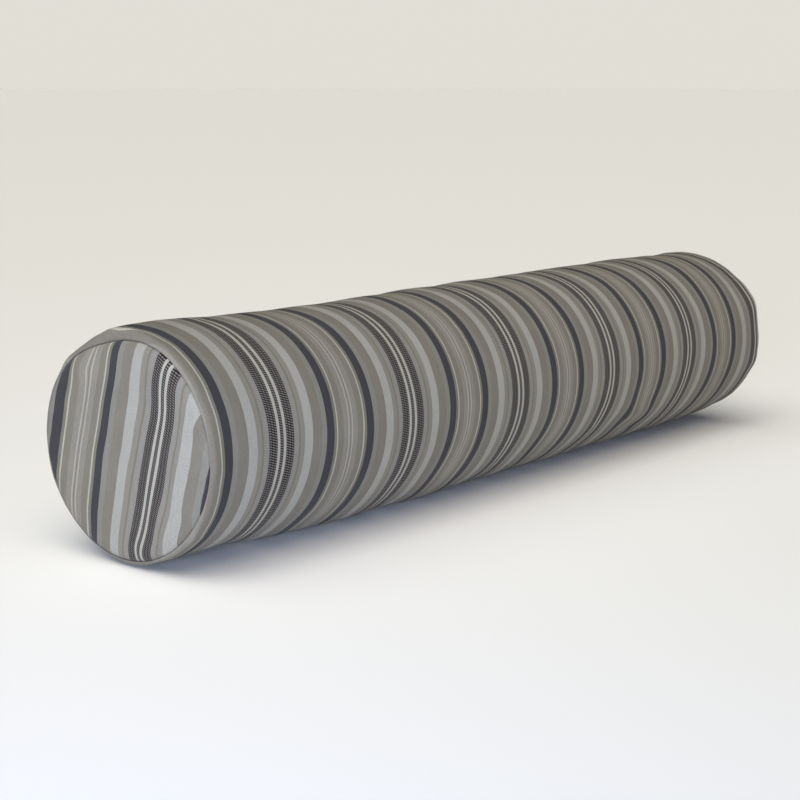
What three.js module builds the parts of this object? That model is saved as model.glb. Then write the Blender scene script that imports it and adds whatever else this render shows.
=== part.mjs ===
// An outdoor bolster: a long round cushion of woven striped cloth, lying on its side.
// One wide panel is wrapped into a tube and filled; a round panel closes each end.
// The tube's cloth rolls softly over the rim and each end panel is sewn just inside it.
//
// Millimetres, +Z up. +X runs along the bolster, from the near end to the far end.
// The origin is under the middle of the bolster, on the surface it lies on.

import * as THREE from 'three';
import { mergeVertices } from 'three/addons/utils/BufferGeometryUtils.js';

// Driving dimensions
const DIAMETER = 220;
const LENGTH = 892; // between the two end seams, along the middle
const SEAM_INSET = 5.2; // the end seams lie this far in from the tube's surface
const RIM_ROLL = 6; // radius of the soft roll at each rim
const SEAM_DEPTH = 2.5; // a seam lies this far inside the outermost part of its roll
const END_CROWN = 12; // how far an end panel bulges, from its seam
const END_FULLNESS = 2.6; // above 2 the crown is flatter in the middle and rounder at its edge
const CLOTH = 1.6; // thickness of an end panel at its sewn edge
const CLEARANCE = 0.35; // between pieces that are sewn together

// How far the filled tube strays from a true cylinder: a fuller middle, ends drawn in by
// their seams and a little askew, and a section pressed slightly oval
const MIDDLE_RADIUS = 111;
const NEAR_END = { radius: 106.8, back: 2.3, lift: 3.4, skewAcross: -0.054, skewUp: -0.005 };
const FAR_END = { radius: 109.4, back: 0.2, lift: 1.0, skewAcross: -0.07, skewUp: 0.015 };
const DRAW_IN_POWER = 2.4; // how late towards its end the tube is drawn in
const SKEW_REACH = 70; // the skew of an end dies away over this length
const OVAL = 0.04; // extra radius along the wide axis of the section, as a part of one
const OVAL_LEAN = -24; // degrees from +Y towards +Z
const FLAT_DEPTH = 2.6; // what the weight presses flat along the underside

// Shallow hollows in the tube: place along it, angle from +Y towards +Z, half sizes, depth
const HOLLOWS = [
  { along: 633, angle: 206, halfLength: 34, halfAngle: 17, depth: 2.4 },
  { along: 690, angle: 216, halfLength: 26, halfAngle: 14, depth: 1.6 },
  { along: 205, angle: 120, halfLength: 90, halfAngle: 30, depth: 1.2 },
];

// Fineness of the meshes
const SIDES = 60;
const TUBE_STEPS = 42;
const ROLL_STEPS = 5;
const CROWN_STEPS = 8;
const CAP_STEPS = 2;

const RADIUS = DIAMETER / 2;
const SEAM_RADIUS = RADIUS - SEAM_INSET;
const ROLL_CENTRE = RADIUS - RIM_ROLL; // distance of the roll's centre from the axis
const CAP = CLOTH + CLEARANCE; // the filled solid starts this far inside the seam
const TO_RADIANS = Math.PI / 180;

const { lerp, euclideanModulo } = THREE.MathUtils;
const range = (count) => Array.from({ length: count }, (_, index) => index);

// Profile points are (distance from the axis, distance along the tube), from the near end.
// The roll starts where it comes down to the seam's radius and ends on the tube's surface.
function rollProfile() {
  const start = Math.asin((SEAM_RADIUS - ROLL_CENTRE) / RIM_ROLL);
  return range(ROLL_STEPS + 1).map((step) => {
    const angle = lerp(start, Math.PI / 2, step / ROLL_STEPS);
    const along = RIM_ROLL * (1 - Math.cos(angle)) - SEAM_DEPTH;
    return new THREE.Vector2(ROLL_CENTRE + RIM_ROLL * Math.sin(angle), along);
  });
}

// The same profile at the far end
function mirrored(profile) {
  return profile.map((point) => new THREE.Vector2(point.x, LENGTH - point.y)).reverse();
}

function tubeProfile() {
  const cap = range(CAP_STEPS + 1).map((step) => new THREE.Vector2((SEAM_RADIUS * step) / CAP_STEPS, CAP));
  const near = [...cap, ...rollProfile()];
  const far = mirrored(near);
  const first = near.at(-1).y;
  const last = far[0].y;
  const between = range(TUBE_STEPS - 1).map(
    (step) => new THREE.Vector2(RADIUS, lerp(first, last, (step + 1) / TUBE_STEPS)),
  );
  return [...near, ...between, ...far];
}

// An end panel: a crown that is steep beside the seam, a thin edge, and a flat back.
function endProfile() {
  const edge = SEAM_RADIUS - CLEARANCE;
  const points = [];
  for (const step of range(CROWN_STEPS + 1)) {
    const angle = (step / CROWN_STEPS) * (Math.PI / 2);
    const across = Math.sin(angle) ** (2 / END_FULLNESS);
    const out = step === CROWN_STEPS ? 0 : Math.cos(angle) ** (2 / END_FULLNESS);
    points.push(new THREE.Vector2(edge * across, -END_CROWN * out));
  }
  points.push(new THREE.Vector2(edge, CLOTH), new THREE.Vector2(0, CLOTH));
  return points;
}

// Radius of the section at an angle, as a part of the mean radius
function ovalness(angle) {
  return 1 + OVAL * Math.cos(2 * (angle - OVAL_LEAN * TO_RADIANS));
}

function hollowDepth(along, angle) {
  let depth = 0;
  for (const hollow of HOLLOWS) {
    const turn = euclideanModulo(angle / TO_RADIANS - hollow.angle + 180, 360) - 180;
    const distance = ((along - hollow.along) / hollow.halfLength) ** 2 + (turn / hollow.halfAngle) ** 2;
    depth += hollow.depth * Math.exp(-distance);
  }
  return depth;
}

// The tube's mean radius and the place of its middle line
function sectionAt(along) {
  const fromMiddle = along / (LENGTH / 2) - 1;
  const end = fromMiddle < 0 ? NEAR_END : FAR_END;
  const weight = Math.abs(fromMiddle) ** DRAW_IN_POWER;
  return {
    radius: lerp(MIDDLE_RADIUS, end.radius, weight),
    y: end.back * weight,
    z: end.lift * weight,
  };
}

function skewAt(along) {
  const near = Math.exp(-Math.max(along, 0) / SKEW_REACH);
  const far = Math.exp(-Math.max(LENGTH - along, 0) / SKEW_REACH);
  return {
    across: NEAR_END.skewAcross * near + FAR_END.skewAcross * far,
    up: NEAR_END.skewUp * near + FAR_END.skewUp * far,
  };
}

// Turns a solid of revolution about Y into the soft form along X, with a flat underside.
function soften(geometry) {
  const position = geometry.attributes.position;
  const point = new THREE.Vector3();
  const floor = FLAT_DEPTH - MIDDLE_RADIUS * ovalness(-Math.PI / 2);
  for (const index of range(position.count)) {
    point.fromBufferAttribute(position, index);
    const along = point.y;
    const angle = Math.atan2(point.x, point.z);
    const part = Math.hypot(point.x, point.z) / RADIUS;
    const section = sectionAt(along);
    const radius = part * (section.radius * ovalness(angle) - hollowDepth(along, angle));
    const y = radius * Math.cos(angle);
    const z = radius * Math.sin(angle);
    const skew = skewAt(along);
    const x = along + skew.across * y + skew.up * z;
    position.setXYZ(index, x, section.y + y, Math.max(section.z + z, floor));
  }
}

// LatheGeometry leaves its first and last columns apart, so equal points are merged first.
function softSolid(profile) {
  const lathe = new THREE.LatheGeometry(profile, SIDES);
  lathe.deleteAttribute('normal');
  lathe.deleteAttribute('uv');
  const solid = mergeVertices(lathe, 1e-4);
  soften(solid);
  solid.computeVertexNormals();
  return solid;
}

function clothPiece(name, profile, color) {
  const material = new THREE.MeshStandardMaterial({ color, roughness: 0.92, metalness: 0 });
  const mesh = new THREE.Mesh(softSolid(profile), material);
  mesh.name = name;
  return mesh;
}

const bolster = new THREE.Group();
bolster.name = 'outdoor_bolster';
bolster.add(clothPiece('tube_panel', tubeProfile(), '#8a8680'));
bolster.add(clothPiece('near_end_panel', endProfile(), '#929290'));
bolster.add(clothPiece('far_end_panel', mirrored(endProfile()), '#929290'));

// Stand the bolster on the surface, over the origin.
const box = new THREE.Box3().setFromObject(bolster, true);
const middle = box.getCenter(new THREE.Vector3());
bolster.position.set(-middle.x, -middle.y, -box.min.z);

export default bolster;
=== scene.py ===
"""An outdoor bolster: a long round cushion of woven striped cloth, lying on its side.

One wide panel is wrapped into a tube and filled, and a round panel of the same cloth closes each end.
The tube's cloth rolls softly over the rim, and each end panel is sewn in just inside it.

Sizes are in millimetres until a mesh is made. The form is worked out along the tube, from the near
end's seam, and round it, by the angle from +Y towards +Z.
"""

import logging
import math
from dataclasses import dataclass, field
from enum import Enum
from typing import Any, TypeVar

import bpy
import numpy as np
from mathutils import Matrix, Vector


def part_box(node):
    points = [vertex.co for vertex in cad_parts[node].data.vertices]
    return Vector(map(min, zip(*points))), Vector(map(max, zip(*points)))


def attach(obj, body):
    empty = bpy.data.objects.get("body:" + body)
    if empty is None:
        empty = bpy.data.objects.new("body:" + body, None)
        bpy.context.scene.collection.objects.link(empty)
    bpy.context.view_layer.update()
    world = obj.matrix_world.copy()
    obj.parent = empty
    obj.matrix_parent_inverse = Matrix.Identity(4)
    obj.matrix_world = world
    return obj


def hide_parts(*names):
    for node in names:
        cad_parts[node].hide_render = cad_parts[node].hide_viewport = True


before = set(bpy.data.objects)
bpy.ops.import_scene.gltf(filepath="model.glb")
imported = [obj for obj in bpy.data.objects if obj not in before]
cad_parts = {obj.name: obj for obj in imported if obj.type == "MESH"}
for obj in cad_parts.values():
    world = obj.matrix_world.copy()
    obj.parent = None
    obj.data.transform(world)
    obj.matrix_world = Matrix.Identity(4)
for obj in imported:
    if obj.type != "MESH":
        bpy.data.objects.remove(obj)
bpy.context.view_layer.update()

log = logging.getLogger("bolster")

MM = 0.001
CLOTH_MAP = "cloth"  # the UV map that holds the cloth's own coordinates, in metres
BODY = "root"
UNDERSIDE = -math.pi / 2  # the angle of the line that the bolster lies on
MEASURING_STEPS = 400  # how finely the form is measured along and round the tube
MEASURING_ANGLES = 361

Array = np.ndarray
Object = bpy.types.Object
Tree = bpy.types.NodeTree
Source = bpy.types.NodeSocket | bpy.types.Node  # what feeds a node's input
Row = TypeVar("Row")


def linear(hex_colour: str) -> tuple[float, float, float, float]:
    """Turn an sRGB hex colour into the linear colour that a shader takes.

    Args:
        hex_colour: six hex digits after a hash sign.

    Returns:
        Linear red, green, blue and a full alpha.
    """
    levels = np.array([int(hex_colour[place:place + 2], 16) for place in (1, 3, 5)]) / 255
    red, green, blue = np.where(levels <= 0.04045, levels / 12.92, ((levels + 0.055) / 1.055) ** 2.4)
    return red, green, blue, 1.0


def add_node(tree: Tree, kind: str, inputs: dict[Any, Any] | None = None, **settings: Any) -> bpy.types.Node:
    """Add a node to a shader, with its settings, its values and its links.

    Args:
        tree: the shader's node tree.
        kind: the node's type name.
        inputs: for each input, by name or number, a value, the socket that feeds it, or the node
            whose first output does.
        settings: the node's own properties.

    Returns:
        The new node.
    """
    node = tree.nodes.new(kind)
    for name, value in settings.items():
        setattr(node, name, value)
    for socket, value in (inputs or {}).items():
        source = value.outputs[0] if isinstance(value, bpy.types.Node) else value
        if isinstance(source, bpy.types.NodeSocket):
            tree.links.new(source, node.inputs[socket])
        else:
            node.inputs[socket].default_value = source
    return node


def empty_tree(owner: bpy.types.Material | bpy.types.World) -> Tree:
    """Give a material or a world a shader with no nodes in it yet."""
    owner.use_nodes = True
    owner.node_tree.nodes.clear()
    return owner.node_tree


def add_object(name: str, data: bpy.types.ID) -> Object:
    """Put a new object that holds this data into the scene."""
    item = bpy.data.objects.new(name, data)
    bpy.context.scene.collection.objects.link(item)
    return item


def rows_of(kind: type[Row], *rows: tuple[float, ...]) -> tuple[Row, ...]:
    """Make one item from each row, which holds its values in the order of its attributes."""
    return tuple(kind(*row) for row in rows)


class Yarn(Enum):
    """The yarns of the cloth, by the colour that each shows."""

    CREAM = "#a29f94"
    LINE_CREAM = "#a29f91"
    FINE_CREAM = "#a19d93"
    DARK = "#201a1e"
    DOT = "#726d66"
    BLUE_GREY = "#85827b"
    SPECK = "#7d7a72"
    THIN_TAN = "#746e63"
    OCHRE = "#716b58"
    GREY = "#7f7b72"
    COOL_GREY = "#7c7a71"
    LIGHT_GREY = "#99978f"
    TAUPE = "#767167"
    CHARCOAL = "#3d3b3f"
    TAN = "#716e62"
    PALE_GREY = "#827e74"
    MID_GREY = "#888379"
    THREAD = "#66615a"


@dataclass(frozen=True)
class Stripe:
    """One stripe of the warp.

    Attributes:
        width: its width in millimetres.
        yarn: what it is woven of.
        fleck: a second yarn that shows in small slanted dashes, if it has one.
    """

    width: float
    yarn: Yarn
    fleck: Yarn | None = None


@dataclass(frozen=True)
class StripePlan:
    """Half a repeat of the striped warp, from the middle of the dotted group outwards.

    The cloth mirrors it there, and again in the middle of the fine double line.
    """

    stripes: tuple[Stripe, ...] = (
        Stripe(1.9, Yarn.DARK, Yarn.DOT),
        Stripe(3.1, Yarn.CREAM),
        Stripe(9.2, Yarn.DARK, Yarn.DOT),
        Stripe(5.8, Yarn.BLUE_GREY, Yarn.SPECK),
        Stripe(2.0, Yarn.THIN_TAN, Yarn.OCHRE),
        Stripe(4.9, Yarn.GREY),
        Stripe(9.8, Yarn.LIGHT_GREY),
        Stripe(10.8, Yarn.TAUPE),
        Stripe(5.8, Yarn.COOL_GREY),
        Stripe(8.9, Yarn.CHARCOAL),
        Stripe(2.9, Yarn.TAN),
        Stripe(1.6, Yarn.LINE_CREAM),
        Stripe(6.7, Yarn.TAUPE),
        Stripe(5.5, Yarn.PALE_GREY),
        Stripe(1.2, Yarn.FINE_CREAM),
        Stripe(1.05, Yarn.MID_GREY),
        Stripe(0.6, Yarn.THREAD),
    )
    dash_columns_from: float = 5.0  # a column of dashes starts here, and the others beside it
    dash_column: float = 3.07
    dash_pitch: float = 2.2  # about 1.8 mm on the real cloth, drawn coarser so that it shows
    dash_length: float = 1.1  # along the stripe
    dash_width: float = 2.3
    dash_fade: float = 0.3  # half the width over which a dash's edge fades
    dash_slant: float = -0.5  # part of a pitch that the dashes climb over each column

    @property
    def half_repeat(self) -> float:
        """Width of half a repeat."""
        return sum(stripe.width for stripe in self.stripes)


@dataclass(frozen=True)
class AcrylicCanvas:
    """Solution-dyed acrylic canvas, plain woven with a striped warp.

    It is matt and a little hairy: it has no gloss of its own, a faint sheen where it turns away, fine
    streaks along the stripes from the uneven yarn, and a mottled grain where warp and weft cross.
    """

    name: str
    plan: StripePlan = StripePlan()
    roughness: float = 0.92
    ior: float = 1.49  # acrylic
    specular: float = 0.12  # fibres scatter most of what a flat face would mirror
    sheen: float = 0.08
    sheen_roughness: float = 0.3
    warp_pitch: float = 1.1  # about 0.5 mm on the real cloth, drawn twice as coarse so that it shows
    weft_pitch: float = 1.3  # about 0.6 mm on the real cloth, drawn twice as coarse so that it shows
    relief: float = 0.12  # height of the threads
    noise_low: float = 0.25  # the noise lies mostly between these two
    noise_high: float = 0.75
    # How far streaks, patches and grain reach, and how much each lightens and darkens the yarn
    streak_length: float = 14.0
    streak: float = 0.05
    patch_size: float = 45.0
    patch: float = 0.035
    grain_size: float = 1.8  # about 1 mm on the real cloth, drawn coarser so that it shows
    grain: float = 0.06

    def ramp(self, tree: Tree, place: Source, colours: list[str]) -> Source:
        """Colour the half repeat with one flat band for each stripe.

        Args:
            tree: the material's node tree.
            place: where a point lies in the half repeat, from 0 to 1.
            colours: one sRGB hex colour for each stripe.

        Returns:
            The node with the colour.
        """
        node = add_node(tree, "ShaderNodeValToRGB", {"Fac": place})
        bands = node.color_ramp
        bands.interpolation = "CONSTANT"
        bands.elements.remove(bands.elements[1])
        start = 0.0
        for stripe, colour in zip(self.plan.stripes, colours):
            band = bands.elements.new(start / self.plan.half_repeat) if start else bands.elements[0]
            band.color = linear(colour)
            start += stripe.width
        return node

    def dashes(self, tree: Tree, across: Source, place: Source, along: Source) -> Source:
        """Draw the slanted dashes that the second yarn makes, in columns.

        Args:
            tree: the material's node tree.
            across: millimetres across the stripes.
            place: millimetres from the middle of the dotted group.
            along: millimetres along the stripe.

        Returns:
            The node with 1 on a dash and 0 beside it.
        """
        plan = self.plan
        column = add_node(tree, "ShaderNodeMath", {0: place, 1: 1 / plan.dash_column,
                                                   2: -plan.dash_columns_from / plan.dash_column},
                          operation="MULTIPLY_ADD")
        signed = add_node(tree, "ShaderNodeMath", {0: across, 1: plan.half_repeat, 2: -plan.half_repeat},
                          operation="WRAP")
        climb = add_node(tree, "ShaderNodeMath", {0: signed, 1: plan.dash_slant / plan.dash_column},
                         operation="MULTIPLY")
        row = add_node(tree, "ShaderNodeMath", {0: along, 1: 1 / plan.dash_pitch, 2: climb},
                       operation="MULTIPLY_ADD")
        on_dash: Source | float = 1.0
        for cell, pitch, size in ((column, plan.dash_column, plan.dash_width),
                                  (row, plan.dash_pitch, plan.dash_length)):
            folded = add_node(tree, "ShaderNodeMath", {0: cell, 1: 0.5}, operation="PINGPONG")
            edge = 0.5 - 0.5 * size / pitch
            soft = plan.dash_fade / pitch
            mask = add_node(tree, "ShaderNodeMapRange",
                            {"Value": folded, "From Min": edge - soft, "From Max": edge + soft},
                            interpolation_type="SMOOTHSTEP")
            on_dash = add_node(tree, "ShaderNodeMath", {0: on_dash, 1: mask}, operation="MULTIPLY")
        return on_dash

    def uneven(self, tree: Tree, place: Source, size: tuple[float, float], amount: float) -> Source:
        """Make a gain that wanders softly around one.

        Args:
            tree: the material's node tree.
            place: the cloth's coordinates in millimetres.
            size: how far the noise reaches across the stripes and along them.
            amount: how far the gain strays from one.

        Returns:
            The node with the gain.
        """
        scaled = add_node(tree, "ShaderNodeVectorMath", {0: place, 1: (1 / size[0], 1 / size[1], 0)},
                          operation="MULTIPLY")
        noise = add_node(tree, "ShaderNodeTexNoise", {"Vector": scaled, "Scale": 1.0, "Detail": 2.0},
                         noise_dimensions="2D")
        return add_node(tree, "ShaderNodeMapRange",
                        {"Value": noise, "From Min": self.noise_low, "From Max": self.noise_high,
                         "To Min": 1 - amount, "To Max": 1 + amount})

    def weave(self, tree: Tree, across: Source, along: Source) -> Source:
        """Raise the threads of the plain weave as bump.

        Args:
            tree: the material's node tree.
            across: millimetres across the stripes.
            along: millimetres along them.

        Returns:
            The node with the bumped normal.
        """
        crossed: Source | float = 1.0
        for value, pitch in ((across, self.warp_pitch), (along, self.weft_pitch)):
            turned = add_node(tree, "ShaderNodeMath", {0: value, 1: 2 * math.pi / pitch},
                              operation="MULTIPLY")
            wave = add_node(tree, "ShaderNodeMath", {0: turned}, operation="SINE")
            crossed = add_node(tree, "ShaderNodeMath", {0: crossed, 1: wave}, operation="MULTIPLY")
        return add_node(tree, "ShaderNodeBump",
                        {"Height": crossed, "Strength": 1.0, "Distance": self.relief * MM})

    def build(self) -> bpy.types.Material:
        """Make the material.

        Returns:
            The finished material, which reads the cloth's own coordinates from its UV map.
        """
        material = bpy.data.materials.new(self.name)
        tree = empty_tree(material)
        cloth = add_node(tree, "ShaderNodeUVMap", uv_map=CLOTH_MAP)
        in_mm = add_node(tree, "ShaderNodeVectorMath", {0: cloth, 1: (1 / MM, 1 / MM, 0)},
                         operation="MULTIPLY")
        parts = add_node(tree, "ShaderNodeSeparateXYZ", {0: in_mm})
        across, along = parts.outputs["X"], parts.outputs["Y"]

        half = self.plan.half_repeat
        stripes = self.plan.stripes
        place = add_node(tree, "ShaderNodeMath", {0: across, 1: half}, operation="PINGPONG")
        share = add_node(tree, "ShaderNodeMath", {0: place, 1: half}, operation="DIVIDE")
        ground = self.ramp(tree, share, [stripe.yarn.value for stripe in stripes])
        second = self.ramp(tree, share, [(stripe.fleck or stripe.yarn).value for stripe in stripes])
        dashes = self.dashes(tree, across, place, along)
        striped = add_node(tree, "ShaderNodeMix", {"Factor": dashes, "A": ground, "B": second},
                           data_type="RGBA")

        # Uneven yarn: long thin streaks along the warp, broad faint patches and a fine mottled grain
        gain: Source | float = 1.0
        for size, amount in (((self.warp_pitch, self.streak_length), self.streak),
                             ((self.patch_size, self.patch_size), self.patch),
                             ((self.grain_size, self.grain_size), self.grain)):
            uneven = self.uneven(tree, in_mm, size, amount)
            gain = add_node(tree, "ShaderNodeMath", {0: gain, 1: uneven}, operation="MULTIPLY")
        dyed = add_node(tree, "ShaderNodeVectorMath", {0: striped.outputs["Result"], "Scale": gain},
                        operation="SCALE")
        shader = add_node(tree, "ShaderNodeBsdfPrincipled", {
            "Base Color": dyed,
            "Roughness": self.roughness,
            "IOR": self.ior,
            "Specular IOR Level": self.specular,
            "Sheen Weight": self.sheen,
            "Sheen Roughness": self.sheen_roughness,
            "Normal": self.weave(tree, across, along),
        })
        add_node(tree, "ShaderNodeOutputMaterial", {"Surface": shader})
        return material


@dataclass(frozen=True)
class PaintedBoard:
    """Matt white paint rolled on a board: even, pale and without gloss."""

    name: str = "matt_painted_board"
    colour: str = "#faf9f8"
    roughness: float = 0.85
    grain: float = 3.0  # the roller's texture, in millimetres
    relief: float = 0.1  # its height
    strength: float = 0.2  # how much of that shows

    def build(self) -> bpy.types.Material:
        """Make the material.

        Returns:
            The finished material.
        """
        material = bpy.data.materials.new(self.name)
        tree = empty_tree(material)
        place = add_node(tree, "ShaderNodeTexCoord")
        grain = add_node(tree, "ShaderNodeTexNoise",
                         {"Vector": place.outputs["Object"], "Scale": 1 / (self.grain * MM)})
        bump = add_node(tree, "ShaderNodeBump",
                        {"Height": grain, "Strength": self.strength, "Distance": self.relief * MM})
        shader = add_node(tree, "ShaderNodeBsdfPrincipled", {
            "Base Color": linear(self.colour),
            "Roughness": self.roughness,
            "Normal": bump,
        })
        add_node(tree, "ShaderNodeOutputMaterial", {"Surface": shader})
        return material


@dataclass(frozen=True)
class EndShape:
    """How far one end strays from the middle of the tube.

    Attributes:
        radius: mean radius at the seam.
        back: how far the middle line drifts towards +Y.
        lift: how far it rises.
        skew_across: slope of the end's seam across the tube.
        skew_up: slope of the end's seam up the tube.
    """

    radius: float
    back: float
    lift: float
    skew_across: float
    skew_up: float


@dataclass(frozen=True)
class Patch:
    """A soft round patch of the tube's surface, and how much something changes there.

    Attributes:
        along: its middle, along the tube.
        angle: its middle, in degrees round the tube.
        half_length: reach along the tube.
        half_angle: reach round it, in degrees.
        amount: the change in its middle, in millimetres.
    """

    along: float
    angle: float
    half_length: float
    half_angle: float
    amount: float

    def at(self, along: Array, angle: Array) -> Array:
        """Work out the change at points of the tube.

        Args:
            along: places along the tube.
            angle: angles round it, in radians.

        Returns:
            The change at each point, in millimetres.
        """
        turn = (np.degrees(angle) - self.angle + 180) % 360 - 180
        away = ((along - self.along) / self.half_length) ** 2 + (turn / self.half_angle) ** 2
        return self.amount * np.exp(-away)


@dataclass(frozen=True)
class BolsterForm:
    """The soft form that every piece of the bolster lies on."""

    diameter: float = 220
    length: float = 892  # between the two end seams, along the middle
    seam_inset: float = 5.2  # the end seams lie this far in from the tube's surface
    rim_roll: float = 6  # radius of the soft roll at each rim
    seam_depth: float = 2.5  # a seam lies this far inside the outermost part of its roll
    end_crown: float = 12  # how far an end panel bulges, from its seam
    end_fullness: float = 2.6  # above 2 the crown is flatter in the middle and rounder at its edge
    middle_radius: float = 111
    near_end: EndShape = EndShape(radius=106.8, back=2.3, lift=3.4, skew_across=-0.054, skew_up=-0.005)
    far_end: EndShape = EndShape(radius=109.4, back=0.2, lift=1.0, skew_across=-0.07, skew_up=0.015)
    wander_power: float = 4.0  # how fast the near seam's wandering dies away towards the panel's middle
    draw_in_power: float = 2.4  # how late towards its end the tube is drawn in
    skew_reach: float = 70  # the skew of an end dies away over this length
    oval: float = 0.04  # extra radius along the wide axis of the section, as a part of one
    oval_lean: float = -24  # degrees from +Y towards +Z
    flat_depth: float = 2.6  # what the weight presses flat along the underside
    # Where the near seam wanders out from its circle, and in at the top, where the rim stands wide
    near_seam: tuple[Patch, ...] = rows_of(
        Patch,
        (0, 76, 60, 23, -4.2), (0, 122, 60, 15, 0.9), (0, 192, 60, 26, 1.3),
        (0, 262, 60, 40, 2.8), (0, 15, 60, 28, 1.0),
    )
    # Shallow hollows in the face and the top
    hollows: tuple[Patch, ...] = rows_of(
        Patch,
        (633, 206, 34, 17, 2.4), (690, 216, 26, 14, 1.6), (205, 120, 90, 30, 1.2),
    )

    @property
    def radius(self) -> float:
        """Nominal radius of the tube."""
        return self.diameter / 2

    @property
    def seam_radius(self) -> float:
        """Nominal radius of the end seams."""
        return self.radius - self.seam_inset

    def ovalness(self, angle: Array | float) -> Array | float:
        """Radius of the section at an angle, as a part of the mean radius."""
        return 1 + self.oval * np.cos(2 * (angle - math.radians(self.oval_lean)))

    def crown(self, part: Array | float) -> Array | float:
        """Height of an end panel's crown at a part of its radius, as a part of the whole crown."""
        inside = np.clip(1 - np.clip(part, 0, 1) ** self.end_fullness, 0, 1)
        return inside ** (1 / self.end_fullness)

    def wander(self, along: Array, angle: Array, distance: Array) -> Array:
        """Work out how far the near seam's wandering moves a point away from the axis.

        Args:
            along: distance along the tube from the near seam.
            angle: angle round it, in radians.
            distance: nominal distance from the axis.

        Returns:
            The move in millimetres: all of it at the seam, and none on the tube or in the middle.
        """
        outside = np.clip((self.radius - distance) / self.seam_inset, 0, 1)
        inside = np.clip(distance / self.seam_radius, 0, 1) ** self.wander_power
        return sum(patch.at(along, angle) for patch in self.near_seam) * outside * inside

    def local(self, along: Array, angle: Array, distance: Array, proud: Array | float = 0.0) -> Array:
        """Place points on the soft form.

        Args:
            along: distance along the tube from the near seam.
            angle: angle round it, in radians.
            distance: nominal distance from the axis.
            proud: how far the point stands out from there, away from the axis.

        Returns:
            Points along the tube, across it and up, from the middle of the near seam.
        """
        from_middle = along / (self.length / 2) - 1
        weight = np.abs(from_middle) ** self.draw_in_power
        end_radius, back, lift = (
            np.where(from_middle < 0, getattr(self.near_end, name), getattr(self.far_end, name))
            for name in ("radius", "back", "lift"))
        mean = self.middle_radius + (end_radius - self.middle_radius) * weight
        hollow = sum(patch.at(along, angle) for patch in self.hollows)
        out = distance / self.radius * (mean * self.ovalness(angle) - hollow) + proud
        out = out + self.wander(along, angle, distance)
        across = out * np.cos(angle)
        up = out * np.sin(angle)
        near_part, far_part = (np.exp(-np.maximum(away, 0) / self.skew_reach)
                               for away in (along, self.length - along))
        skew_across = self.near_end.skew_across * near_part + self.far_end.skew_across * far_part
        skew_up = self.near_end.skew_up * near_part + self.far_end.skew_up * far_part
        floor = self.flat_depth - self.middle_radius * self.ovalness(UNDERSIDE)
        x = along + skew_across * across + skew_up * up
        y = back * weight + across
        z = np.maximum(lift * weight + up, floor)
        return np.stack(np.broadcast_arrays(x, y, z), axis=-1)


@dataclass(frozen=True)
class Place:
    """Where the form's own starting point lies in the frame."""

    x: float
    y: float
    z: float

    @classmethod
    def of_form(cls, form: BolsterForm, node: str) -> "Place":
        """Find the place from the box that the frame gives the tube.

        Args:
            form: the bolster's form.
            node: the tube's node in the frame.

        Returns:
            The place of the near seam's middle, in millimetres.
        """
        along = np.linspace(0, form.length, MEASURING_STEPS)[:, None]
        angle = np.linspace(0, 2 * math.pi, MEASURING_ANGLES)[None, :]
        surface = form.local(along, angle, np.full_like(along, form.radius)).reshape(-1, 3)
        low, high = (np.array(corner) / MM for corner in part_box(node))
        middle = (low + high) / 2
        own_middle = (surface.min(0) + surface.max(0)) / 2
        return cls(middle[0] - own_middle[0], middle[1] - own_middle[1], low[2] - surface[:, 2].min())

    def to_frame(self, points: Array) -> Array:
        """Turn the form's points, in millimetres, into the frame's, in metres."""
        return (points + np.array([self.x, self.y, self.z])) * MM


def ring_mesh(name: str, rings: Array, cloth: Array, poles: Array, pole_cloth: Array) -> Object:
    """Build one closed mesh from rings of points and a point at each end.

    Args:
        name: the new object's name.
        rings: points in metres, by ring and then round it.
        cloth: cloth coordinates in metres, by ring and then round it, with one more column.
        poles: the first and the last point of the mesh.
        pole_cloth: their cloth coordinates.

    Returns:
        The new object, smooth shaded.
    """
    count, sides = rings.shape[:2]
    here = np.arange(count * sides).reshape(count, sides)
    beside = np.roll(here, -1, axis=1)
    first_pole = np.full(sides, here.size)
    quads = np.stack([here[:-1], beside[:-1], beside[1:], here[1:]], axis=-1).reshape(-1, 4)
    first_fan = np.stack([first_pole, beside[0], here[0]], axis=-1)
    last_fan = np.stack([first_pole + 1, here[-1], beside[-1]], axis=-1)
    mesh = bpy.data.meshes.new(name)
    points = np.concatenate([rings.reshape(-1, 3), poles])
    mesh.from_pydata(points.tolist(), [], quads.tolist() + first_fan.tolist() + last_fan.tolist())

    first_middle, last_middle = (np.broadcast_to(middle, (sides, 2)) for middle in pole_cloth)
    corners = (
        np.stack([cloth[:-1, :-1], cloth[:-1, 1:], cloth[1:, 1:], cloth[1:, :-1]], axis=2),
        np.stack([first_middle, cloth[0, 1:], cloth[0, :-1]], axis=1),
        np.stack([last_middle, cloth[-1, :-1], cloth[-1, 1:]], axis=1),
    )
    layer = mesh.uv_layers.new(name=CLOTH_MAP)
    flat = np.concatenate([corner.reshape(-1, 2) for corner in corners])
    layer.data.foreach_set("uv", flat.astype(np.float32).ravel())
    mesh.shade_smooth()
    mesh.update()
    return add_object(name, mesh)


class End(Enum):
    """Which end of the bolster a panel closes, numbered for the draws of its waves."""

    NEAR = 0
    FAR = 1


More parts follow.
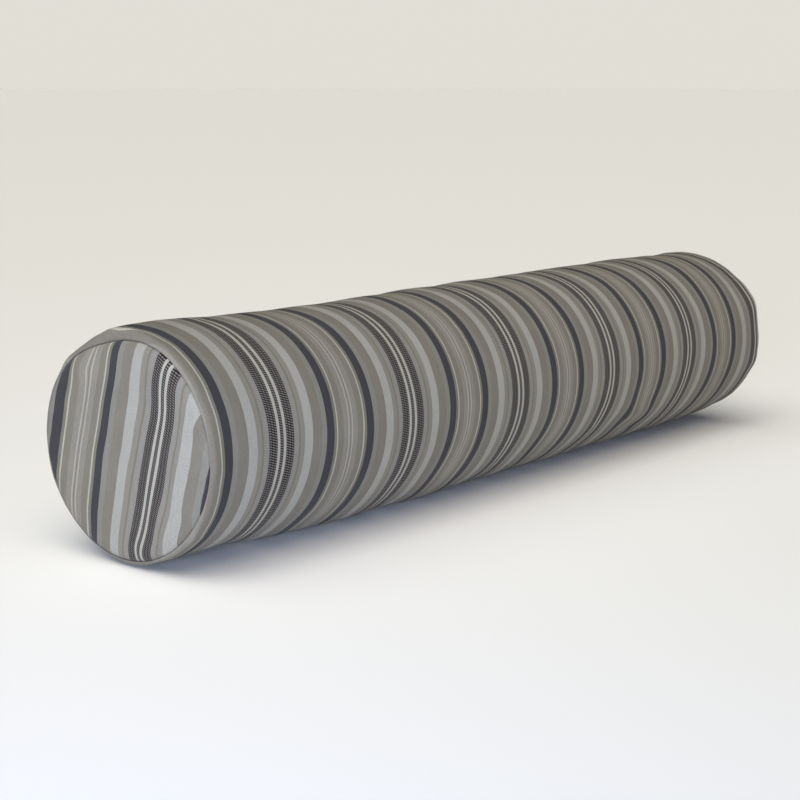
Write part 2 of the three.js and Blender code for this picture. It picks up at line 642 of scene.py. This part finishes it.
@dataclass(frozen=True)
class Waves:
    """Seeded waves that add up to a soft unevenness over the tube.

    Attributes:
        seed: seed of the draws.
        count: how many waves are added up.
        turns: the most waves round the tube.
        length: the shortest wavelength along the tube.
    """

    seed: int
    count: int
    turns: int
    length: float = 1.0

    def at(self, along: Array, angle: Array, draw: int = 0) -> Array:
        """Work out the waves' height at points of the tube.

        Args:
            along: places along the tube.
            angle: angles round it, in radians.
            draw: what is added to the seed, so that two like pieces differ.

        Returns:
            Heights with a spread of about one.
        """
        draws = np.random.default_rng(self.seed + draw)
        total = np.zeros(np.broadcast_shapes(along.shape, angle.shape))
        for _ in range(self.count):
            cycles = draws.uniform(-1, 1) / self.length
            round_it = draws.integers(-self.turns, self.turns + 1)
            phase = draws.uniform(0, 2 * math.pi)
            total = total + np.sin(2 * math.pi * cycles * along + round_it * angle + phase)
        return total * math.sqrt(2 / self.count)


@dataclass
class ClothPiece:
    """What every piece of the bolster has: the form that it lies on, its place and its cloth."""

    form: BolsterForm
    place: Place
    finish: AcrylicCanvas
    name: str
    node: str  # the one that it stands for
    slot: str  # the record's name for its material

    def angles(self, sides: int) -> Array:
        """Give the angles once round the tube, from its underside back to it."""
        return np.linspace(0, 2 * math.pi, sides + 1)[None, :] + UNDERSIDE

    def middles(self, along: Array) -> Array:
        """Place points of the middle line in the frame."""
        return self.place.to_frame(self.form.local(along, np.zeros((1, 1)), np.zeros((1, 1)))[:, 0])

    def dress(self, piece: Object) -> None:
        """Give a piece its cloth, hang it on the body and hide the part of the frame that it stands for.

        Args:
            piece: the bare piece.
        """
        piece.data.materials.append(self.finish.build())
        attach(piece, BODY)
        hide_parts(self.node)


@dataclass
class TubePanel(ClothPiece):
    """The filled tube, wrapped in one wide panel of cloth that rolls over both rims."""

    fill: float = 0.95
    sides: int = 272
    body_steps: int = 300
    roll_steps: int = 12
    lip_steps: int = 3
    cap_steps: int = 6
    cap_inset: float = 0.9  # the filling's end stays this far inside the seam
    cap_power: float = 0.7  # below 1 its rings lie closer together towards the seam
    lip: float = 1.0  # radius at the inner edge of the roll, where the cloth dives into the seam
    wall_foot: float = 1.9  # where that wall ends, inside the seam
    end_cloth: float = 1.7  # the filling ends this far under an end panel's face
    # How the filling pushes the cloth out and the seams gather it
    unevenness: float = 0.28
    broad: Waves = Waves(seed=11, count=40, turns=5, length=70)
    fine: Waves = Waves(seed=12, count=40, turns=13, length=28)
    fine_share: float = 0.35
    puckers: Waves = Waves(seed=21, count=9, turns=31)
    pucker: float = 0.35
    pucker_reach: float = 16
    bulges: tuple[Patch, ...] = rows_of(
        Patch,
        # Round the near rim, which stands up at the back and hangs at its lowest point
        (40, 86, 58, 22, 4.2), (5, 60, 40, 13, -1.2), (0, 312, 40, 18, -3.4),
        (0, 12, 40, 24, -2.2), (0, 46, 30, 9, 1.3), (5, 267, 30, 16, 2.6),
        # Along the top
        (265, 84, 75, 26, -1.7), (450, 84, 150, 26, -0.7), (855, 84, 60, 24, -1.4),
        # Along the lower edge
        (64, 250, 28, 16, -1.3), (205, 249, 62, 20, 2.9), (334, 248, 38, 18, 2.4),
        (495, 248, 22, 14, -0.9), (640, 248, 40, 16, -1.1),
        # Round the far rim, where gathers pull it into flats and corners
        (888, 116, 25, 14, -1.8), (888, 153, 28, 13, 4.2), (888, 191, 25, 12, 2.4),
        (882, 238, 26, 13, -2.9),
    )
    # How the stripes lie: the dotted group's first middle, how far the cloth was pulled at each end
    # and over what length, and how far the stripes stand askew, highest at what angle
    first_dotted: float = 86.0
    near_pull: float = 12.6
    near_pull_reach: float = 220
    near_pull_power: float = 1.2
    far_pull: float = 20.0
    far_pull_reach: float = 290
    far_pull_power: float = 2.3
    sway: float = 2.3
    sway_angle: float = 163
    pulls: tuple[Patch, ...] = rows_of(
        Patch,
        # Beside the near rim and in the hollows
        (85, 215, 45, 40, -4.0), (90, 115, 50, 30, 1.6), (5, 229, 12, 30, 5.0),
        (633, 204, 28, 9, 6.0), (682, 211, 24, 7, 7.0), (675, 224, 24, 6, -8.0),
        # Along the top
        (330, 96, 330, 20, -5.5), (220, 97, 90, 16, -1.5), (540, 96, 45, 18, 1.5),
        (860, 96, 30, 14, -3.5), (138, 110, 26, 22, -2.0), (58, 112, 30, 12, 0.9),
        (305, 112, 28, 18, -1.3), (270, 98, 55, 13, 3.6), (510, 103, 20, 18, 2.2),
        (610, 98, 55, 20, -4.3), (745, 100, 36, 28, -3.8), (798, 98, 18, 14, -4.0),
        (842, 99, 20, 13, 5.2), (872, 102, 18, 22, -4.3), (0, 88, 26, 16, -5.5),
        (0, 62, 26, 15, -6.0), (75, 94, 50, 9, -2.2), (355, 99, 16, 9, 2.2),
        (770, 96, 40, 7, -2.0),
        # On the face
        (480, 190, 420, 42, 1.3), (-3, 165, 5, 200, -2.0), (75, 165, 45, 40, 1.5),
        (185, 158, 26, 26, 0.9), (350, 164, 24, 20, 0.8), (740, 176, 26, 16, 1.1),
        (832, 174, 20, 26, 1.2), (150, 190, 40, 40, -1.5), (250, 150, 85, 45, -2.0),
        (450, 160, 40, 50, -1.0), (640, 150, 45, 45, -2.5), (742, 200, 46, 30, -3.0),
        (825, 125, 30, 30, 3.0), (865, 205, 35, 40, 2.5),
        # Low down
        (62, 212, 32, 24, 1.4), (290, 232, 140, 15, 1.8), (565, 214, 34, 9, 2.6),
        (655, 214, 16, 9, 9.0), (690, 221, 16, 8, 9.0), (135, 232, 36, 12, -3.6),
        (205, 233, 30, 8, -1.6), (400, 224, 36, 14, 1.8), (765, 208, 20, 12, 1.2),
        (765, 227, 20, 8, -3.0), (868, 214, 22, 16, 2.6), (825, 219, 32, 9, 2.0),
        (682, 220, 22, 6, 2.2), (872, 148, 16, 12, -4.0), (572, 232, 36, 10, -4.5),
        (300, 214, 45, 18, -3.0), (470, 218, 45, 14, -4.0), (590, 218, 45, 14, -3.5),
    )

    def half_profile(self) -> Array:
        """Trace the near half's profile, from the axis to the tube's surface.

        Returns:
            Rows of distance from the axis and distance along the tube.
        """
        form = self.form
        inner = form.seam_radius - self.cap_inset
        parts = np.linspace(1 / self.cap_steps, 1, self.cap_steps) ** self.cap_power
        cap = [(inner * part, self.end_cloth - form.end_crown * form.crown(part * inner / form.seam_radius))
               for part in parts]
        centre = form.radius - form.rim_roll
        meet = math.asin((form.seam_radius + self.lip - centre) / form.rim_roll)
        outermost = form.rim_roll * (1 - math.cos(meet)) - form.seam_depth
        lip_along = outermost + self.lip
        wall = [(form.seam_radius, self.wall_foot), (form.seam_radius, (self.wall_foot + lip_along) / 2)]
        lip = [(form.seam_radius + self.lip * (1 - math.cos(turn)), lip_along - self.lip * math.sin(turn))
               for turn in np.linspace(0, math.pi / 2, self.lip_steps, endpoint=False)]
        roll = [(centre + form.rim_roll * math.sin(turn),
                 form.rim_roll * (1 - math.cos(turn)) - form.seam_depth)
                for turn in np.linspace(meet, math.pi / 2, self.roll_steps)]
        return np.array(cap + wall + lip + roll)

    def profile(self) -> Array:
        """Trace the whole profile, from one end's middle to the other's.

        Returns:
            Rows of distance from the axis and distance along the tube.
        """
        near = self.half_profile()
        far = near[::-1] * (1, -1) + (0, self.form.length)
        between = np.linspace(near[-1, 1], far[0, 1], self.body_steps + 1)[1:-1]
        body = np.stack([np.full_like(between, self.form.radius), between], axis=-1)
        return np.concatenate([near, body, far])

    def relief(self, along: Array, angle: Array, distance: Array) -> Array:
        """Work out how the filled cloth strays from its smooth form.

        Args:
            along: places along the tube.
            angle: angles round it, in radians.
            distance: nominal distance from the axis.

        Returns:
            How far each point stands out, in millimetres.
        """
        form = self.form
        waves = self.broad.at(along, angle) + self.fine_share * self.fine.at(along, angle)
        height = self.unevenness * waves + sum(bulge.at(along, angle) for bulge in self.bulges)
        for end, seam in ((End.NEAR, 0.0), (End.FAR, form.length)):
            gathers = self.puckers.at(np.zeros_like(along), angle, end.value)
            height = height + self.pucker * gathers * np.exp(-np.abs(along - seam) / self.pucker_reach)
        on_surface = np.clip((distance - form.seam_radius) / form.seam_inset, 0, 1)
        return height * on_surface

    def stripes(self, along: Array, angle: Array) -> Array:
        """Work out where each point lies across the stripes.

        Args:
            along: places along the tube.
            angle: angles round it, in radians.

        Returns:
            Millimetres from the middle of the first dotted group.
        """
        to_far = self.form.length - along
        near = np.clip(1 - along / self.near_pull_reach, 0, None) ** self.near_pull_power
        far = np.clip(1 - to_far / self.far_pull_reach, 0, None) ** self.far_pull_power
        middle = self.first_dotted - self.near_pull * near - self.far_pull * far
        sway = -self.sway * np.sin(angle - math.radians(self.sway_angle))
        pulled = sum(pull.at(along, angle) for pull in self.pulls)
        return along - middle - sway - pulled

    def build(self) -> Object:
        """Build the filled tube and dress it.

        Returns:
            The finished piece, riding on the body.
        """
        profile = self.profile()
        distance, along = profile[:, :1], profile[:, 1:]
        angle = self.angles(self.sides)
        proud = self.relief(along, angle, distance)
        points = self.place.to_frame(self.form.local(along, angle, distance, proud))
        across = self.stripes(along, angle)
        cloth = np.stack(np.broadcast_arrays(across, angle * self.form.radius), axis=-1) * MM
        cap = self.end_cloth - self.form.end_crown
        poles = self.middles(np.array([[cap], [self.form.length - cap]]))
        piece = ring_mesh(self.name, points[:, :-1], cloth, poles, np.zeros((2, 2)))
        self.dress(piece)
        return piece


@dataclass(frozen=True)
class Tug:
    """A place on an end panel where sewing it in tugged its stripes aside.

    Attributes:
        across: its place across the panel.
        up: its height on the panel, from the middle of the cloth.
        half_width: reach across.
        half_height: reach up.
        shift: how far the stripes moved across.
    """

    across: float
    up: float
    half_width: float
    half_height: float
    shift: float

    def at(self, across: Array, up: Array) -> Array:
        """Work out the shift at points of the panel."""
        away = ((across - self.across) / self.half_width) ** 2 + ((up - self.up) / self.half_height) ** 2
        return self.shift * np.exp(-away)


@dataclass(frozen=True)
class StripeLay:
    """How the stripes lie on an end panel: places in millimetres, seen in the section's own axes.

    Attributes:
        marks: places in the stripe plan, and where each crosses the panel at its middle height.
        lean: how far the stripes move across for each millimetre up.
        low: how far below the middle the panel's cloth was laid.
        fan: how that lean grows across the panel.
        bow: how the stripes curve.
        tugs: where they were tugged aside.
    """

    marks: tuple[tuple[float, float], ...]
    lean: float
    low: float = 0.0
    fan: float = 0.0
    bow: float = 0.0
    tugs: tuple[Tug, ...] = ()

    def chart(self, across: Array, up: Array) -> Array:
        """Work out where each point lies in the stripe plan.

        Args:
            across: place across the panel, towards +Y.
            up: place up the panel.

        Returns:
            Millimetres from the middle of the dotted group.
        """
        up = up + self.low
        straight = across + self.lean * up + self.fan * across * up - self.bow * up ** 2
        straight = straight - sum(tug.at(across, up) for tug in self.tugs)
        charted, places = zip(*self.marks)
        inside = np.interp(straight, places, charted)
        return inside + np.minimum(straight - places[0], 0) + np.maximum(straight - places[-1], 0)


NEAR_LAY = StripeLay(
    marks=(
        (-53.3, -105.5),  # charcoal, where it just shows at the seam
        (-36.7, -88.2),  # light grey, outer edge
        (-26.9, -73.9),  # light grey, inner edge
        (-14.2, -62.2),  # dotted group, one edge
        (14.2, -34.4),  # dotted group, the other edge
        (26.9, -18.9),  # light grey, inner edge
        (36.7, -6.9),  # light grey, outer edge
        (53.3, 13.7),  # charcoal, inner edge
        (62.2, 23.4),  # charcoal, outer edge
        (81.75, 49.7),  # middle of the fine double line
        (101.3, 79.2),  # next charcoal
        (110.2, 95.2),  # and its other edge
    ),
    lean=0.235,
    low=3.0,
    fan=0.00014,
    bow=0.0006,
    tugs=rows_of(
        Tug,
        (-65, 64, 28, 20, 2.6), (-22, -90, 20, 14, 2.8), (18, 0, 16, 38, 1.7),
        (42, -80, 18, 18, -2.4), (-25, 62, 16, 26, -1.9), (-10, -18, 14, 24, 1.0),
        (-76, -55, 14, 16, -2.5), (8, 72, 34, 18, -2.0), (54, 76, 18, 13, 6.5),
        (-46, 48, 20, 22, -3.4), (-24, 70, 8, 16, 2.0), (-78, 36, 12, 26, -2.0),
        (-62, -30, 12, 30, -3.4), (-34, -44, 18, 36, -2.6), (72, -22, 20, 34, -1.2),
        (80, 46, 22, 18, 2.6), (62, -68, 12, 12, -1.8), (-92, 32, 13, 17, 3.5),
        (-104, 14, 10, 18, 1.2),
    ),
)
FAR_LAY = StripeLay(
    marks=((-20.0, -60.0), (100.0, 64.0)),
    lean=-0.09,
    bow=0.0003,
)


@dataclass
class EndPanel(ClothPiece):
    """A round panel sewn into one end of the tube, pushed out into a low crown by the filling."""

    end: End
    lay: StripeLay
    rests_on: str
    thickness: float = 1.2
    clearance: float = 0.35
    sides: int = 240
    face_steps: int = 72
    back_steps: int = 10
    # How the filling pushes the cloth out and the seam gathers it
    gathers: Waves = Waves(seed=31, count=9, turns=34)
    pucker: float = 0.55
    pucker_reach: float = 12
    broad: Waves = Waves(seed=41, count=16, turns=3, length=80)
    broad_reach: float = 100  # how far those waves run from the panel's middle to its edge
    unevenness: float = 0.35
    held_reach: float = 5  # the seam holds the cloth even over this width

    @property
    def edge(self) -> float:
        """Nominal radius of the panel's sewn edge."""
        return self.form.seam_radius - self.clearance

    def rise(self, part: Array, angle: Array) -> Array:
        """Work out how far the panel stands out from its seam.

        Args:
            part: distance from the axis as a part of the panel's radius.
            angle: angle round the tube, in radians.

        Returns:
            The height of each point, in millimetres.
        """
        draw = self.end.value
        from_seam = (1 - part) * self.edge
        gathers = self.gathers.at(np.zeros_like(part), angle, draw) * np.exp(-from_seam / self.pucker_reach)
        broad = self.broad.at(part * self.broad_reach, angle, draw) * part
        held = np.clip(from_seam / self.held_reach, 0, 1)
        small = self.pucker * gathers + self.unevenness * broad
        return self.form.end_crown * self.form.crown(part) + small * held

    def rings(self) -> tuple[Array, Array]:
        """Work out the rings of the face, the edge and the back, from the face's middle.

        Returns:
            For each ring its part of the panel's radius, and how deep it lies under the face.
        """
        face, back = (np.sin(np.linspace(0, math.pi / 2, steps + 1)[1:]) ** (2 / self.form.end_fullness)
                      for steps in (self.face_steps, self.back_steps))
        parts = np.concatenate([face, back[::-1]])
        depth = np.concatenate([np.zeros_like(face), np.full_like(back, self.thickness)])
        return parts[:, None], depth[:, None]

    def build(self) -> Object:
        """Build the panel and dress it.

        Returns:
            The finished piece, riding on the body.
        """
        part, depth = self.rings()
        angle = self.angles(self.sides)
        height = self.rise(part, angle) - depth
        distance = part * self.edge * np.ones_like(angle)
        middle = self.form.end_crown - np.array([[0], [self.thickness]])
        if self.end is End.NEAR:
            along, axis = -height, -middle
        else:
            along, axis = self.form.length + height, self.form.length + middle
        sewn = distance + self.form.wander(along, angle, distance)
        across = sewn * np.cos(angle)
        up = sewn * np.sin(angle)
        cloth = np.stack([self.lay.chart(across, up), up - self.lay.lean * across], axis=-1) * MM
        centre = self.lay.chart(np.zeros(1), np.zeros(1))[0] * MM
        poles = self.middles(axis)
        points = self.place.to_frame(self.form.local(along, angle, distance))
        if self.end is End.FAR:
            points, cloth, poles = points[::-1], cloth[::-1], poles[::-1]
        piece = ring_mesh(self.name, points[:, :-1], cloth, poles, np.array([[centre, 0], [centre, 0]]))
        self.dress(piece)
        return piece


class Throw(Enum):
    """How a light throws: from a soft box nearby, or evenly from one part of the ceiling."""

    SOFT_BOX = "AREA"
    CEILING = "SUN"


@dataclass(frozen=True)
class Light:
    """A light of the studio.

    Attributes:
        name: its name.
        throw: how it throws.
        direction: its azimuth and elevation in degrees, as the camera's are given.
        power: watts from a soft box, or watts a square metre from the ceiling.
        colour: its sRGB hex colour.
        spread: how wide a soft box throws, or how wide the part of the ceiling is, in degrees.
        distance: metres from a soft box to what it faces.
        size: metres along a soft box's side.
    """

    name: str
    throw: Throw
    direction: tuple[float, float]
    power: float
    colour: str
    spread: float
    distance: float = 0.0
    size: float = 0.0


@dataclass
class Studio:
    """A plain pale floor, soft light and the camera."""

    place: Place
    finish: PaintedBoard = field(default_factory=PaintedBoard)
    floor_size: float = 400.0  # metres
    horizon_colour: str = "#e1ded6"
    overhead_colour: str = "#000000"
    horizon_from: float = 4.0  # degrees above the horizon, where the pale band starts to fade
    horizon_to: float = 12.0  # and where it is gone
    target: tuple[float, float, float] = (-0.45, 0, 0.1)  # what the soft boxes face, in metres
    lights: tuple[Light, ...] = (
        Light("near_fill", Throw.SOFT_BOX, (-48, 7), 9.6, "#58a0ff", spread=180, distance=1.45, size=0.6),
        Light("near_key", Throw.SOFT_BOX, (-56, 8), 2.9, "#fcfcff", spread=40, distance=2.6, size=0.9),
        Light("ceiling_left", Throw.CEILING, (-120, 60), 1.01, "#f8fff9", spread=60),
        Light("ceiling_front", Throw.CEILING, (-48, 60), 1.98, "#fff8ed", spread=60),
    )
    # The camera: its place along, across and up from the middle of the near seam, in millimetres
    camera_place: tuple[float, float, float] = (-828.3, -1062.6, 314.4)
    azimuth: float = -48.09  # degrees, as the next
    elevation: float = 11.4
    image_width: float = 800  # pixels
    focal_pixels: float = 1558.8
    sensor: float = 36.0

    def back(self, azimuth: float, elevation: float) -> Vector:
        """Give the direction from the bolster towards a viewer at this azimuth and elevation."""
        turn, rise = math.radians(azimuth), math.radians(elevation)
        return Vector((math.sin(turn) * math.cos(rise), -math.cos(turn) * math.cos(rise), math.sin(rise)))

    def face_bolster(self, data: bpy.types.ID, back: Vector, location: Vector) -> Object:
        """Set up a light or the camera so that it faces the bolster.

        Args:
            data: the light or the camera.
            back: the direction from the bolster towards it.
            location: its place, in metres.

        Returns:
            The new object.
        """
        item = add_object(data.name, data)
        item.location = location
        item.rotation_euler = back.to_track_quat("Z", "Y").to_euler()
        return item

    def build_floor(self) -> None:
        """Lay the floor."""
        half = self.floor_size / 2
        mesh = bpy.data.meshes.new("floor")
        corners = [(-half, -half, 0), (half, -half, 0), (half, half, 0), (-half, half, 0)]
        mesh.from_pydata(corners, [], [(0, 1, 2, 3)])
        mesh.materials.append(self.finish.build())
        add_object("floor", mesh)

    def build_light(self, light: Light) -> None:
        """Hang a light.

        Args:
            light: its kind, place and strength.
        """
        data = bpy.data.lights.new(light.name, light.throw.value)
        data.energy = light.power
        data.color = linear(light.colour)[:3]
        if light.throw is Throw.SOFT_BOX:
            data.shape = "SQUARE"
            data.size = light.size
            data.spread = math.radians(light.spread)
        else:
            data.angle = math.radians(light.spread)
        back = self.back(*light.direction)
        self.face_bolster(data, back, back * light.distance + Vector(self.target))

    def build_sky(self) -> None:
        """Light everything softly from all round, with a pale band at the horizon and none overhead."""
        world = bpy.data.worlds.new("soft_surround")
        bpy.context.scene.world = world
        tree = empty_tree(world)
        direction = add_node(tree, "ShaderNodeTexCoord")
        parts = add_node(tree, "ShaderNodeSeparateXYZ", {0: direction.outputs["Generated"]})
        fade_from, fade_to = (math.sin(math.radians(turn)) for turn in (self.horizon_from, self.horizon_to))
        fade = add_node(tree, "ShaderNodeMapRange",
                        {"Value": parts.outputs["Z"], "From Min": fade_from, "From Max": fade_to},
                        interpolation_type="SMOOTHSTEP")
        below, above = linear(self.horizon_colour), linear(self.overhead_colour)
        colour = add_node(tree, "ShaderNodeMix", {"Factor": fade, "A": below, "B": above}, data_type="RGBA")
        glow = add_node(tree, "ShaderNodeBackground", {"Color": colour.outputs["Result"], "Strength": 1.0})
        add_node(tree, "ShaderNodeOutputWorld", {"Surface": glow})

    def build_camera(self) -> None:
        """Set up the camera at the viewing angle."""
        data = bpy.data.cameras.new("camera")
        data.sensor_width = self.sensor
        data.lens = self.sensor * self.focal_pixels / self.image_width
        location = Vector(self.place.to_frame(np.array(self.camera_place)))
        back = self.back(self.azimuth, self.elevation)
        bpy.context.scene.camera = self.face_bolster(data, back, location)

    def build(self) -> None:
        """Build the camera, the floor and the lights."""
        self.build_camera()
        self.build_floor()
        self.build_sky()
        for light in self.lights:
            self.build_light(light)
        bpy.context.scene.view_settings.view_transform = "Standard"


def report(piece: Object) -> None:
    """Log a finished piece."""
    log.info("%s: %d faces", piece.name, len(piece.data.polygons))


def main() -> None:
    """Build the bolster and its studio, and report each piece."""
    logging.basicConfig(level=logging.INFO, format="%(name)s: %(message)s")
    form = BolsterForm()
    place = Place.of_form(form, "tube_panel")
    log.info("near seam at %.2f, %.2f, %.2f mm", place.x, place.y, place.z)
    studio = Studio(place)
    studio.build()
    log.info("studio: floor, sky, %d lights and camera", len(studio.lights))
    finish = AcrylicCanvas("woven_acrylic_canvas_tube")
    tube = TubePanel(form, place, finish, "filled_tube", "tube_panel", "tube_cloth").build()
    report(tube)
    for end, lay in ((End.NEAR, NEAR_LAY), (End.FAR, FAR_LAY)):
        side = end.name.lower()
        finish = AcrylicCanvas(f"woven_acrylic_canvas_{side}_end")
        panel = EndPanel(form, place, finish, f"{side}_round_end", f"{side}_end_panel", "end_cloth",
                         end=end, lay=lay, rests_on=tube.name)
        report(panel.build())


if __name__ == "__main__":
    main()
